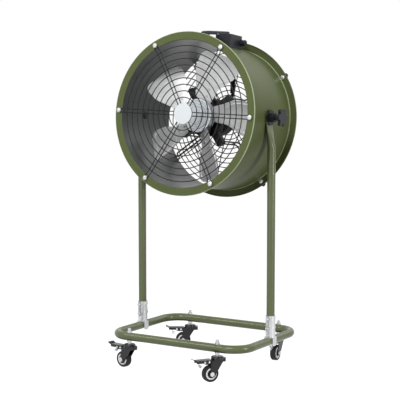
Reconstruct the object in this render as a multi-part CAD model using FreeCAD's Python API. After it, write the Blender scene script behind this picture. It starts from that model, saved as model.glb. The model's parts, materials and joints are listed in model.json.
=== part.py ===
import FreeCAD, Part
import math
import os
from FreeCAD import Vector

# An axial drum fan on a wheeled stand. Millimetres, +Z up, the fan blows towards -Y.
# The origin is on the floor under the middle of the stand.

# Stand: bent base loop, two legs, tee clamps
tube_diameter = 25.4
tube_wall = 1.5
leg_offset = 9.2
base_half_depth = 179.0
base_corner_radius = 62.0
base_height = 99.0
pivot_height = 783.5
plate_thickness = 4.0
plate_half_width = 19.0
plate_above_pivot = 15.0
plate_below_pivot = 24.0
plate_blend_length = 66.0
tee_wall = 2.2
tee_height = 66.0
tee_strap_width = 24.0
tee_strap_drop = 15.0
tee_ear_reach = 10.0
tee_ear_thickness = 4.0
tee_ear_height = 48.0
tee_ear_start = 18.0
tee_screw_radius = 2.5
tee_screw_head_radius = 4.6
tee_screw_head_height = 2.6

# Casters: stem, swivel head with fork, wheel and brake pedal
stem_radius = 5.0
stem_rise = 13.0
stem_gap = 10.0
stem_pin_radius = 4.0
stem_nut_width = 13.0
stem_nut_height = 5.0
wheel_diameter = 50.0
wheel_width = 18.0
hub_radius = 20.0
hub_ring_depth = 1.2
hub_ring_radii = (12.5, 18.0)
tyre_shoulder = 3.0
caster_trail = 24.0
head_radius = 19.0
head_height = 11.0
head_dome = 5.0
fork_plate = 2.2
fork_bridge = 6.0
fork_top_reach = 22.0
fork_heel = 17.0
crown_heel = 26.0
crown_rise = 5.0
crown_rounding = 8.0
fork_eye_radius = 9.0
fork_corner = 2.0
fork_round_share = 0.85
fork_gap = 1.3
axle_radius = 4.0
axle_head_radius = 6.5
axle_head_height = 4.0
pedal_pivot_radius = 2.0
pedal_pivot_reach = 17.0
pedal_pivot_drop = 5.0
pedal_reach = 82.0
pedal_half_width = 12.0
pedal_sheet = 2.2
pedal_tip_rise = 5.0
pedal_tip_length = 10.0
pedal_eye = 5.0
pedal_lift = 1.0
pedal_neck_drop = 2.5
pedal_step = 2.0
pedal_cheek_end = 50.0
pedal_cheek_slope = 7.0
pedal_cheek_rounding = (3.0, 1.0, 1.0, 1.0, 1.0, 3.0, 1.0, 5.0)
pedal_skirt = 7.0
pedal_shoe_start = 34.5
pedal_shoe_length = 7.0
pedal_shoe_height = 11.0
pedal_holes = (31.0, 45.0)
pedal_hole_radius = 2.6
pedal_hole_drop = 4.0
# Distance of each caster's stem from the side tube's middle, as drilled along the base's front and rear tubes
stem_insets = {"front_left": 73.0, "front_right": 83.0, "rear_left": 71.0, "rear_right": 67.0}
# Heading of each caster's trailing wheel, degrees from +X: front left, front right, rear left, rear right
caster_headings = {"front_left": 172.0, "front_right": 238.0, "rear_left": 212.0, "rear_right": 274.0}

# Drum casing, with depth measured back from the front flange's face
bore_diameter = 450.0
casing_sheet = 1.5
flange_width = 25.0
flange_lip = 6.0
flange_bend = 1.4
drum_length = 270.7
pivot_setback = 142.7
rest_tilt = 5.15
pad_radius = 24.0
pad_thickness = 2.0
pivot_bolt_radius = 5.0
pivot_head_radius = 11.0
pivot_head_height = 3.5
crown_share = 0.8
washer_radius = 23.0
washer_thickness = 4.0
knob_hub_radius = 14.0
knob_hub_length = 14.0
knob_neck_radius = 8.5
knob_neck_length = 17.0
knob_head_thickness = 9.0
knob_core_radius = 20.0
knob_lobe_radius = 8.0
knob_lobes = 6

# Guards
guard_bolt_offset = 10.5
guard_bolt_radius = 3.0
guard_bolt_head_radius = 6.5
guard_bolt_head_height = 3.5
guard_bolt_over = 2.0
guard_washer_radius = 7.5
guard_washer_thickness = 1.5
guard_nut_width = 10.0
guard_nut_height = 5.0
spoke_wire = 3.0
spoke_half_gap = 5.5
spoke_inner_radius = 26.0
spoke_bend = 8.0
ring_wire = 3.0
front_spokes = 6
front_spoke_angle = -2.0
front_rings = 9
front_ring_first = 50.0
front_ring_margin = 18.2
front_guard_recess = 6.0
front_rim_over = 1.0
front_rim_under = 11.0
disc_radius = 32.0
disc_thickness = 3.0
rear_spokes = 4
rear_spoke_angle = 34.8
rear_rings = 13
rear_ring_first = 34.0
rear_ring_margin = 8.6

# Motor and the rods that hang it from the rear flange
motor_setback = 140.7
motor_radius = 56.0
motor_shell = 6.0
front_cover_chamfer = 3.0
rear_cover_chamfer = 5.0
front_cover_length = 16.0
motor_body_length = 68.0
rear_cover_length = 18.0
rear_cover_floor = 5.0
fin_height = 4.0
fin_thickness = 2.5
fin_count = 6
fin_pitch = 6.0
shaft_radius = 7.5
shaft_exit_radius = 10.0
bearing_radius = 17.5
bearing_width = 11.0
stator_length = 46.0
stator_bore_radius = 31.0
air_gap = 0.6
foot_ring = 7.0
foot_setback = 2.0
foot_length = 18.0
foot_end = 10.0
foot_width = 24.0
foot_floor = 4.0
foot_rounding = 8.0
rod_diameter = 5.0
rod_half_gap = 6.0
rod_offset = 40.0
rod_rear_setback = 18.7
rod_wall_gap = 15.5
rod_rim_gap = 2.5
rod_loop_over = 4.0
rod_corner = 14.0
rod_bend = 8.0

# Impeller
blade_count = 5
blade_angle = 70.5
blade_setback = 19.0
blade_pitch = 33.0
blade_sheet = 2.0
blade_camber_radius = 400.0
blade_root = 52.0
blade_neck_share = 0.46
blade_shoulder_share = 0.7
blade_tip_gap = 25.0
# Half widths of the blade's leading and trailing sides at its root, neck, shoulder and tip
blade_lead_half = (20.0, 26.0, 62.0, 80.0)
blade_trail_half = (32.0, 44.0, 62.0, 58.0)
blade_lead_rounding = (4.0, 40.0, 50.0, 24.0)
blade_trail_rounding = (4.0, 60.0, 60.0, 24.0)
blade_rib_inset = 9.0
blade_rib_width = 5.0
blade_rib_height = 1.6
blade_rib_rounding = 9.0
arm_sheet = 3.0
arm_half_width = 19.0
arm_end = 98.0
hub_disc_radius = 52.0
hub_lead = 50.0
hub_disc_thickness = 6.0
hub_cup_radius = 49.0
hub_cup_wall = 6.0
hub_cup_depth = 26.0
hub_boss_radius = 18.0
hub_boss_length = 33.0
hub_step_radius = 40.0
hub_step_height = 3.0
hub_cap_radius = 22.0
hub_screw_circle = 30.0
hub_screw_radius = 2.2
rivet_radius = 2.5
rivet_head_radius = 4.5
rivet_head_height = 1.6
rivet_reaches = (64.0, 86.0)

# Switch box, handle and leads on top of the drum
box_left = 12.0
box_width = 56.0
box_setback = 122.7
box_length = 76.0
box_rise = 33.0
box_wall = 2.5
box_corner = 6.0
lid_thickness = 3.0
lid_post_radius = 4.5
lid_post_inset = 6.0
lid_screw_radius = 1.6
lid_screw_head_radius = 3.2
lid_screw_head_height = 1.6
lid_screw_length = 12.0
lid_screw_short = 1.0
rocker_length = 22.0
rocker_width = 12.0
rocker_bezel = 2.5
rocker_bezel_height = 1.5
rocker_body_depth = 16.0
rocker_wall = 1.5
rocker_swing = 9.0
rocker_pin_radius = 1.5
rocker_end_gap = 1.0
rocker_key_rise = 1.6
rocker_key_skirt = 0.5
rocker_key_keel = 3.0
rocker_key_drop = 4.5
gland_setback = 65.0
gland_rise = 11.5
gland_body_width = 18.0
gland_body_length = 6.0
gland_cap_radius = 9.0
gland_cap_rounding = 2.0
gland_cap_length = 13.0
gland_thread_radius = 6.0
gland_thread_over = 2.0
gland_bore_radius = 4.5
handle_left = -13.0
handle_width = 22.0
handle_front_setback = 178.7
handle_front_lean = 16.0
handle_rear_setback = 16.7
handle_rear_lean = 10.0
handle_front_rise = 39.5
handle_rear_rise = 52.5
handle_edge = 2.0
handle_knuckle = 6.0
handle_shoulder_drop = 5.0
handle_heel_drop = 9.0
handle_rounding = (0, 8.0, 8.0, 10.0, 6.0, 0, 0, 6.0, 8.0, 0)
handle_bar = 10.0
handle_foot = 18.0
lead_radius = 4.0
lead_x = 58.0
lead_setback = 46.0
lead_angle = 50.0
lead_gland_radius = 8.0
lead_gland_end = 74.0
lead_bend = 22.0
lead_rise = 9.5
sleeve_radius = 7.5
sleeve_bottom = 78.0
sleeve_rise = 2.0

# Clearances
running_fit = 0.05
slip_fit = 0.15
face_gap = 0.3
seat_gap = 0.1
weld_gap = 0.05

X, Y, Z = Vector(1, 0, 0), Vector(0, 1, 0), Vector(0, 0, 1)
ORIGIN = Vector(0, 0, 0)

tube_radius = tube_diameter / 2
bore_radius = bore_diameter / 2
barrel_radius = bore_radius + casing_sheet
flange_radius = bore_radius + flange_width
base_top = base_height + tube_radius
base_bottom = base_height - tube_radius
pad_face = barrel_radius + pad_thickness
plate_inner = pad_face + face_gap
plate_outer = plate_inner + plate_thickness
base_half_width = plate_inner + leg_offset
pivot_depth = drum_length - pivot_setback
guard_bolt_circle = bore_radius + guard_bolt_offset
front_ring_pitch = (bore_radius - front_ring_margin - front_ring_first) / (front_rings - 1)
rear_ring_pitch = (bore_radius - rear_ring_margin - rear_ring_first) / (rear_rings - 1)
motor_front = drum_length - motor_setback
foot_front = motor_front + foot_setback
rod_radius = motor_radius + rod_offset
foot_reach = rod_radius + foot_end
hub_front = motor_front - hub_lead
blade_depth = hub_front + blade_setback
blade_tip = bore_radius - blade_tip_gap
blade_neck = blade_tip * blade_neck_share
blade_shoulder = blade_tip * blade_shoulder_share
box_front = drum_length - box_setback
box_top = barrel_radius + box_rise
lead_depth = box_front + lead_setback
lead_top = barrel_radius + lead_rise


def rounded_path(points, radii, closed=False):
    """Straight runs joined by tangent arcs. radii has one value for each corner."""
    corners = len(points) if closed else len(points) - 2
    edges, ends = [], []
    for i in range(corners):
        here = points[i if closed else i + 1]
        before = points[i - 1 if closed else i]
        after = points[(i + 1) % len(points) if closed else i + 2]
        back, ahead = (before - here).normalize(), (after - here).normalize()
        radius = radii[i]
        half = back.getAngle(ahead) / 2
        run = radius / math.tan(half)
        middle = (back + ahead).normalize()
        top = here + middle * (radius / math.sin(half) - radius)
        ends.append((here + back * run, top, here + ahead * run, radius))
    start = ends[-1][2] if closed else points[0]
    for first, top, last, radius in ends:
        if (first - start).Length > 1e-6:
            edges.append(Part.LineSegment(start, first).toShape())
        if radius > 0:
            edges.append(Part.Arc(first, top, last).toShape())
        start = last
    if not closed and (points[-1] - start).Length > 1e-6:
        edges.append(Part.LineSegment(start, points[-1]).toShape())
    return Part.Wire(edges)


def rounded_prism(points, radii, along):
    """A closed outline with rounded corners, extruded along a vector."""
    return Part.Face(rounded_path(points, radii, closed=True)).extrude(along)


def swept(path, radius):
    """A round bar along a path of lines and arcs."""
    first = path.OrderedEdges[0]
    start = first.valueAt(first.FirstParameter)
    tangent = first.tangentAt(first.FirstParameter)
    circle = Part.Wire(Part.makeCircle(radius, start, tangent))
    return path.makePipeShell([circle], True, False)


def hexagon(width, height, base, axis, bore):
    """A hexagonal nut across flats, with a round bore."""
    nut = Part.makeCylinder(width / math.sqrt(3), height, base, axis)
    side = X if abs(axis.dot(X)) < 0.9 else Y
    for k in range(3):
        turn = FreeCAD.Rotation(axis, 60 * k)
        flat = turn.multVec(side)
        across = axis.cross(flat)
        corner = base - flat * width / 2 - across * width
        wide, long = flat * width, across * 2 * width
        outline = [corner, corner + wide, corner + wide + long, corner + long, corner]
        nut = nut.common(Part.Face(Part.makePolygon(outline)).extrude(axis * height))
    return nut.cut(Part.makeCylinder(bore, height, base, axis))


def axial(radius, start, end, x=0.0, z=0.0):
    """A cylinder along the fan's axis between two depths behind the front flange."""
    return Part.makeCylinder(radius, end - start, Vector(x, start - pivot_depth, z), Y)


def clock(radius, angle, depth):
    """A point in the level drum: radius, angle from +X towards +Z, depth behind the front flange."""
    a = math.radians(angle)
    return Vector(radius * math.cos(a), depth - pivot_depth, radius * math.sin(a))


def turned(shape, angle):
    """A copy turned about the fan's axis."""
    copy = shape.copy()
    copy.rotate(ORIGIN, Y, -angle)
    return copy


def in_drum(shape):
    """The level drum's piece at its rest tilt on the stand."""
    copy = shape.copy()
    copy.rotate(ORIGIN, X, -rest_tilt)
    copy.translate(Z * pivot_height)
    return copy


def opposite(shape):
    """The same piece on the other side of the stand."""
    copy = shape.copy()
    copy.rotate(ORIGIN, Z, 180)
    return copy


def stem_places():
    """The middle of each caster's stem on the floor."""
    places = {}
    for corner, inset in stem_insets.items():
        x, y = base_half_width - inset, base_half_depth
        places[corner] = Vector(-x if "left" in corner else x, -y if "front" in corner else y, 0)
    return places


# Stand

def base_frame():
    w, d = base_half_width, base_half_depth
    corners = [Vector(-w, -d, base_height), Vector(w, -d, base_height),
               Vector(w, d, base_height), Vector(-w, d, base_height)]
    path = rounded_path(corners, [base_corner_radius] * 4, closed=True)
    loop = swept(path, tube_radius).cut(swept(path, tube_radius - tube_wall))
    for place in stem_places().values():
        below = place + Z * (base_bottom - tube_wall)
        loop = loop.cut(Part.makeCylinder(stem_radius + slip_fit, tube_diameter + 2 * tube_wall, below))
    return loop


def flattened_outline(x, z, half_width, half_thickness):
    """The squeezed tube's outline in a level plane: two flats and two round ends."""
    y = half_width - half_thickness
    a, b = Vector(x - half_thickness, -y, z), Vector(x + half_thickness, -y, z)
    c, d = Vector(x + half_thickness, y, z), Vector(x - half_thickness, y, z)
    return Part.Wire([Part.Arc(a, Vector(x, -half_width, z), b).toShape(), Part.LineSegment(b, c).toShape(),
                      Part.Arc(c, Vector(x, half_width, z), d).toShape(), Part.LineSegment(d, a).toShape()])


def round_outline(x, z, radius):
    """The round tube's outline, split at the same places as the squeezed one."""
    def point(angle):
        return Vector(x + radius * math.cos(math.radians(angle)), radius * math.sin(math.radians(angle)), z)
    quarters = [(-135, -90, -45), (-45, 0, 45), (45, 90, 135), (135, 180, 225)]
    return Part.Wire([Part.Arc(point(a), point(m), point(b)).toShape() for a, m, b in quarters])


def right_leg():
    blend_top = pivot_height - plate_below_pivot
    blend_bottom = blend_top - plate_blend_length
    plate_x = plate_inner + plate_thickness / 2
    half = plate_thickness / 2
    foot = Vector(base_half_width, 0, base_height)
    round_part = Part.makeCylinder(tube_radius, blend_bottom - base_height, foot)
    blend = Part.makeLoft([round_outline(base_half_width, blend_bottom, tube_radius),
                           flattened_outline(plate_x, blend_top, plate_half_width, half)], True, True)
    flat = Part.Face(flattened_outline(plate_x, blend_top, plate_half_width, half))
    plate = flat.extrude(Z * (plate_below_pivot + plate_above_pivot))
    leg = round_part.fuse([blend, plate]).removeSplitter()
    inside = blend_bottom - tube_wall - base_height
    leg = leg.cut(Part.makeCylinder(tube_radius - tube_wall, inside, foot))
    leg = leg.cut(side_tube(tube_radius + seat_gap))
    hole = Part.makeCylinder(pivot_bolt_radius + running_fit, 4 * plate_thickness,
                             Vector(plate_inner - plate_thickness, 0, pivot_height), X)
    return leg.cut(hole)


def side_tube(radius):
    """A stretch of the base's right side tube, to saddle the pieces that sit on it."""
    start = Vector(base_half_width, -2 * tube_diameter, base_height)
    return Part.makeCylinder(radius, 4 * tube_diameter, start, Y)


def tee_screw_places():
    """Base point and direction of each screw in the right tee, heads outwards."""
    x = base_half_width + tee_ear_thickness / 2
    y = tube_radius + slip_fit + tee_wall + tee_ear_reach / 2
    levels = [base_top + tee_ear_start + tee_ear_height * share for share in (0.2, 0.8)]
    return [Vector(x, side * y, z) for side in (-1, 1) for z in levels]


def right_tee():
    inner = tube_radius + slip_fit
    outer = inner + tee_wall
    centre = Vector(base_half_width, 0, base_height)
    sleeve = Part.makeCylinder(outer, tube_radius + tee_height, centre)
    low = base_height - tee_strap_drop
    strap = Part.makeBox(2 * outer, tee_strap_width, base_top - low,
                         Vector(base_half_width - outer, -tee_strap_width / 2, low))
    low_ends = [e for e in strap.Edges if abs(e.CenterOfMass.z - low) < 1e-6 and abs(e.CenterOfMass.y) > 1]
    strap = strap.makeFillet(tee_strap_width / 3, low_ends)
    ears = Part.makeBox(tee_ear_thickness, 2 * (outer + tee_ear_reach), tee_ear_height,
                        Vector(base_half_width - tee_ear_thickness / 2, -outer - tee_ear_reach,
                               base_top + tee_ear_start))
    tee = sleeve.fuse([strap, ears]).removeSplitter()
    tee = tee.cut(Part.makeCylinder(inner, 2 * tee_height, centre))
    tee = tee.cut(side_tube(inner))
    mouth = centre - Vector(inner, tee_strap_width, 2 * tee_strap_drop)
    tee = tee.cut(Part.makeBox(2 * inner, 2 * tee_strap_width, 2 * tee_strap_drop, mouth))
    for place in tee_screw_places():
        tee = tee.cut(Part.makeCylinder(tee_screw_radius + seat_gap, 3 * tee_ear_thickness,
                                        place - X * 2 * tee_ear_thickness, X))
    return tee


def tee_screws():
    screws = []
    for place in tee_screw_places():
        shank = Part.makeCylinder(tee_screw_radius, tee_ear_thickness + tee_screw_head_height,
                                  place - X * (tee_ear_thickness + tee_screw_head_height), X)
        head = Part.makeCylinder(tee_screw_head_radius, tee_screw_head_height, place, X)
        nut = Part.makeCylinder(tee_screw_head_radius, tee_screw_head_height,
                                place - X * (tee_ear_thickness + tee_screw_head_height), X)
        screw = shank.fuse([head, nut]).removeSplitter()
        screws += [screw, opposite(screw)]
    return screws


# Casters, each drawn with its wheel trailing along +X from the stem

axle_level = wheel_diameter / 2
head_top = base_bottom - stem_gap
head_bottom = head_top - head_height
fork_inner = wheel_width / 2 + fork_gap
fork_outer = fork_inner + fork_plate
past_caster = 2 * (wheel_diameter + caster_trail)
pedal_pivot = Vector(pedal_pivot_reach, 0, head_bottom - pedal_pivot_drop)


def caster_stems():
    stems = []
    for place in stem_places().values():
        thread = Part.makeCylinder(stem_radius, base_top + stem_rise - head_top, place + Z * head_top)
        pin = Part.makeCylinder(stem_pin_radius, head_height, place + Z * head_bottom)
        stems.append(thread.fuse(pin).removeSplitter())
        for level in (base_bottom - stem_nut_height, base_top):
            stems.append(hexagon(stem_nut_width, stem_nut_height, place + Z * level, Z,
                                 stem_radius + seat_gap))
    return stems


def caster_fork():
    head = Part.makeCylinder(head_radius, head_height, Z * head_bottom)
    head = head.makeFillet(head_dome, [e for e in head.Edges if abs(e.CenterOfMass.z - head_top) < 1e-6])
    eye = axle_level - fork_eye_radius
    outline = [Vector(-fork_heel, -fork_outer, head_bottom), Vector(fork_top_reach, -fork_outer, head_bottom),
               Vector(caster_trail + fork_eye_radius, -fork_outer, eye),
               Vector(caster_trail - fork_eye_radius, -fork_outer, eye)]
    round_end = fork_eye_radius * fork_round_share
    cheeks = rounded_prism(outline, [fork_corner, fork_corner, round_end, round_end], Y * 2 * fork_outer)
    bridge_end = pedal_pivot_reach - fork_bridge
    slot = Part.makeBox(2 * past_caster, 2 * fork_inner, past_caster,
                        Vector(-past_caster, -fork_inner, head_bottom - fork_bridge - past_caster))
    behind = Part.makeBox(past_caster, 2 * fork_inner, 2 * fork_bridge,
                          Vector(bridge_end, -fork_inner, head_bottom - 2 * fork_bridge))
    pin = Part.makeCylinder(pedal_pivot_radius, 2 * fork_inner, pedal_pivot - Y * fork_inner, Y)
    crown_low = head_bottom - fork_bridge
    crown_plan = [Vector(-crown_heel, -fork_outer, crown_low), Vector(0, -fork_outer, crown_low),
                  Vector(0, fork_outer, crown_low), Vector(-crown_heel, fork_outer, crown_low)]
    crown = rounded_prism(crown_plan, [crown_rounding, 0, 0, crown_rounding], Z * (fork_bridge + crown_rise))
    fork = cheeks.cut(slot).cut(behind).fuse([head, crown, pin]).removeSplitter()
    fork = fork.cut(Part.makeCylinder(stem_pin_radius + running_fit, head_height + 2 * fork_bridge,
                                      Z * (head_bottom - 2 * fork_bridge)))
    return fork.cut(Part.makeCylinder(axle_radius + seat_gap, 4 * fork_outer,
                                      Vector(caster_trail, -2 * fork_outer, axle_level), Y))


def caster_axle():
    reach = fork_outer + axle_head_height
    centre = Vector(caster_trail, 0, axle_level)
    bolt = Part.makeCylinder(axle_radius, 2 * reach, centre - Y * reach, Y)
    head = hexagon(2 * axle_head_radius, axle_head_height - face_gap, centre - Y * reach, Y, axle_radius / 2)
    nut = hexagon(2 * axle_head_radius, axle_head_height - face_gap, centre + Y * (fork_outer + face_gap), Y,
                  axle_radius / 2)
    return bolt.fuse([head, nut]).removeSplitter()


def caster_tyre():
    centre = Vector(caster_trail, -wheel_width / 2, axle_level)
    tyre = Part.makeCylinder(wheel_diameter / 2, wheel_width, centre, Y)
    rims = [e for e in tyre.Edges if e.Curve.TypeId == "Part::GeomCircle"]
    tyre = tyre.makeFillet(tyre_shoulder, rims)
    return tyre.cut(Part.makeCylinder(hub_radius + seat_gap, wheel_width, centre, Y))


def caster_hub():
    centre = Vector(caster_trail, -wheel_width / 2, axle_level)
    hub = Part.makeCylinder(hub_radius, wheel_width, centre, Y)
    inner, outer = hub_ring_radii
    for face in (centre, centre + Y * (wheel_width - hub_ring_depth)):
        groove = Part.makeCylinder(outer, hub_ring_depth, face, Y).cut(
            Part.makeCylinder(inner, hub_ring_depth, face, Y))
        hub = hub.cut(groove)
    return hub.cut(Part.makeCylinder(axle_radius + running_fit, wheel_width, centre, Y))


def caster_pedal():
    half = fork_inner - face_gap
    low, high = pedal_pivot.z - pedal_eye, head_bottom
    under = high + pedal_lift
    top = under + pedal_sheet
    heel = pedal_pivot_reach - pedal_eye
    neck = high - pedal_neck_drop
    tip_start = pedal_reach - pedal_tip_length
    cheek = [(heel, low), (heel, neck), (fork_top_reach - pedal_step, neck),
             (fork_top_reach + pedal_step, under), (tip_start, under), (tip_start, under - pedal_skirt),
             (pedal_cheek_end, under - pedal_skirt), (pedal_cheek_end - pedal_cheek_slope, low)]
    cheeks = rounded_prism([Vector(x, -half, z) for x, z in cheek], pedal_cheek_rounding, Y * 2 * half)
    gap = half - pedal_sheet
    hollow = Part.makeBox(2 * past_caster, 2 * gap, past_caster,
                          Vector(-past_caster, -gap, high - past_caster))
    shoe = Part.makeBox(pedal_shoe_length, 2 * gap, pedal_shoe_height,
                        Vector(pedal_shoe_start, -gap, high - pedal_shoe_height))
    plate = Part.makeBox(tip_start - fork_top_reach, 2 * pedal_half_width, pedal_sheet,
                         Vector(fork_top_reach, -pedal_half_width, under))
    tip = [(tip_start, under), (pedal_reach, under + pedal_tip_rise), (pedal_reach, top + pedal_tip_rise),
           (tip_start, top), (tip_start, under)]
    outline = Part.makePolygon([Vector(x, -pedal_half_width, z) for x, z in tip])
    scoop = Part.Face(outline).extrude(Y * 2 * pedal_half_width)
    pedal = cheeks.cut(hollow).fuse([shoe, plate, scoop]).removeSplitter()
    for reach in pedal_holes:
        hole = Vector(reach, -2 * half, high - pedal_hole_drop)
        pedal = pedal.cut(Part.makeCylinder(pedal_hole_radius, 4 * half, hole, Y))
    pivot_start = pedal_pivot - Y * 2 * half
    return pedal.cut(Part.makeCylinder(pedal_pivot_radius + running_fit, 4 * half, pivot_start, Y))


def on_caster(shape, name):
    """A caster piece turned to its heading and set under its stem."""
    copy = shape.copy()
    copy.rotate(ORIGIN, Z, caster_headings[name])
    copy.translate(stem_places()[name])
    return copy


# Drum, drawn level with the pivot at the origin

def bolt_places(count, first, radius, depth):
    return [clock(radius, first + 360 / count * k, depth) for k in range(count)]


def casing():
    front, rear = -pivot_depth, drum_length - pivot_depth
    t, r, b, bend = casing_sheet, flange_radius, bore_radius, flange_bend
    profile = [(r, front + flange_lip), (r, front), (b, front), (b, rear), (r, rear), (r, rear - flange_lip),
               (r - t, rear - flange_lip), (r - t, rear - t), (b + t, rear - t), (b + t, front + t),
               (r - t, front + t), (r - t, front + flange_lip)]
    radii = [0, t, bend + t, bend + t, t, 0, 0, 0, bend, bend, 0, 0]
    outline = rounded_path([Vector(x, y, 0) for x, y in profile], radii, closed=True)
    shell = Part.Face(outline).revolve(ORIGIN, Y, 360)
    for k in range(front_spokes):
        place = clock(guard_bolt_circle, front_spoke_angle + 360 / front_spokes * k, 0)
        shell = shell.cut(axial(guard_bolt_radius + seat_gap, -t, 3 * t, place.x, place.z))
    for k in range(rear_spokes):
        place = clock(guard_bolt_circle, rear_spoke_angle + 360 / rear_spokes * k, 0)
        hole = axial(guard_bolt_radius + seat_gap, drum_length - 3 * t, drum_length + t, place.x, place.z)
        shell = shell.cut(hole)
    pivot_hole = Part.makeCylinder(pivot_bolt_radius + seat_gap, 2 * flange_radius, X * -flange_radius, X)
    pads = [trunnion_pad(), opposite(trunnion_pad())]
    shell = shell.fuse(pads).removeSplitter().cut(pivot_hole)
    lead_hole = Vector(lead_x, lead_depth - pivot_depth, 0)
    return shell.cut(Part.makeCylinder(sleeve_radius + slip_fit, flange_radius, lead_hole))


def trunnion_pad():
    """The round pad welded to the barrel's right side, for the leg's plate to clamp on."""
    start = bore_radius - 2 * pad_thickness
    pad = Part.makeCylinder(pad_radius, pad_face - start, X * start, X)
    return pad.cut(axial(bore_radius + casing_sheet / 2, 0, drum_length))


def knob_levels():
    """X of the washer's face, the knob's back and its shoulders."""
    washer = plate_outer + face_gap
    back = washer + washer_thickness + face_gap
    neck = back + knob_hub_length
    head = neck + knob_neck_length
    return washer, back, neck, head


def pivot_bolts():
    """The carriage bolts the drum tilts on, each with its friction washer under the knob."""
    seat = math.sqrt(bore_radius ** 2 - pivot_head_radius ** 2) - seat_gap
    inside = seat - pivot_head_height
    washer_at, end = knob_levels()[0], knob_levels()[3]
    head = Part.makeCylinder(pivot_head_radius, pivot_head_height, X * inside, X)
    crown = [e for e in head.Edges if abs(e.CenterOfMass.x - inside) < 1e-6]
    head = head.makeFillet(pivot_head_height * crown_share, crown)
    bolt = head.fuse(Part.makeCylinder(pivot_bolt_radius, end - seat, X * seat, X)).removeSplitter()
    washer = Part.makeCylinder(washer_radius, washer_thickness, X * washer_at, X)
    washer = washer.cut(Part.makeCylinder(pivot_bolt_radius + seat_gap, washer_thickness, X * washer_at, X))
    return [in_drum(s) for s in (bolt, washer, opposite(bolt), opposite(washer))]


def tilt_knob():
    washer, back, neck, head = knob_levels()
    hub = Part.makeCylinder(knob_hub_radius, knob_hub_length, X * back, X)
    stem = Part.makeCylinder(knob_neck_radius, knob_neck_length, X * neck, X)
    star = Part.makeCylinder(knob_core_radius, knob_head_thickness, X * head, X)
    lobes = []
    for k in range(knob_lobes):
        a = math.radians(360 / knob_lobes * k)
        centre = Vector(head, knob_core_radius * math.cos(a), knob_core_radius * math.sin(a))
        lobes.append(Part.makeCylinder(knob_lobe_radius, knob_head_thickness, centre, X))
    knob = hub.fuse([stem, star] + lobes).removeSplitter()
    bore = Part.makeCylinder(pivot_bolt_radius + running_fit, head + seat_gap - back, X * back, X)
    return knob.cut(bore)


def hairpin(side_points, half_gap, wire, bends):
    """A bent double spoke drawn along +X: out along one side, round the loop and back along the other."""
    near = [Vector(r, y, -half_gap) for r, y in side_points]
    far = [Vector(r, y, half_gap) for r, y in reversed(side_points)]
    radii = bends + [half_gap, half_gap] + bends[::-1]
    return swept(rounded_path(near + far, radii), wire / 2)


def wire_ring(radius, depth):
    return Part.makeTorus(radius, ring_wire / 2, Vector(0, depth - pivot_depth, 0), Y)


def front_guard():
    spoke = -spoke_wire / 2
    sunk = spoke + front_guard_recess
    rim, inner_rim = bore_radius + front_rim_over, bore_radius - front_rim_under
    y = -pivot_depth
    side = [(spoke_inner_radius, y + sunk), (inner_rim, y + sunk), (rim, y + spoke),
            (guard_bolt_circle + spoke_half_gap, y + spoke)]
    pin = hairpin(side, spoke_half_gap, spoke_wire, [spoke_bend, spoke_bend])
    spokes = [turned(pin, front_spoke_angle + 360 / front_spokes * k) for k in range(front_spokes)]
    depth = sunk - spoke_wire / 2 - ring_wire / 2 - weld_gap
    rings = [wire_ring(front_ring_first + front_ring_pitch * k, depth) for k in range(front_rings)]
    hub_ring = wire_ring(spoke_inner_radius + ring_wire, sunk + spoke_wire / 2 + ring_wire / 2 + weld_gap)
    return [in_drum(wire) for wire in spokes + rings + [hub_ring]]


def guard_disc():
    seat = front_guard_recess - spoke_wire - seat_gap
    disc = axial(disc_radius, seat - disc_thickness, seat)
    face = seat - disc_thickness - pivot_depth
    return disc.makeFillet(disc_thickness / 3, [e for e in disc.Edges if abs(e.CenterOfMass.y - face) < 1e-6])


def guard_bolt(seat, grip, angle):
    """A domed bolt with its washer in front of the seat and, past the grip, its nut."""
    place = clock(guard_bolt_circle, angle, seat)
    face = place - Y * (guard_washer_thickness + guard_bolt_head_height)
    head = Part.makeCylinder(guard_bolt_head_radius, guard_bolt_head_height, face, Y)
    crown = [e for e in head.Edges if abs(e.CenterOfMass.y - face.y) < 1e-6]
    head = head.makeFillet(guard_bolt_head_height * crown_share, crown)
    washer_face = place - Y * guard_washer_thickness
    washer = Part.makeCylinder(guard_washer_radius, guard_washer_thickness, washer_face, Y)
    shank = Part.makeCylinder(guard_bolt_radius, grip + guard_nut_height + guard_bolt_over, place, Y)
    nut = hexagon(guard_nut_width, guard_nut_height, place + Y * grip, Y, guard_bolt_radius + seat_gap)
    return [head.fuse([washer, shank]).removeSplitter(), nut]


def guard_bolts():
    """The bolts, washers and nuts of both guards."""
    solids = []
    for k in range(front_spokes):
        angle = front_spoke_angle + 360 / front_spokes * k
        solids += guard_bolt(-spoke_wire, spoke_wire + casing_sheet, angle)
    grip = casing_sheet + rod_diameter + spoke_wire
    for k in range(rear_spokes):
        angle = rear_spoke_angle + 360 / rear_spokes * k
        solids += guard_bolt(drum_length - casing_sheet, grip, angle)
    return [in_drum(s) for s in solids]


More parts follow.
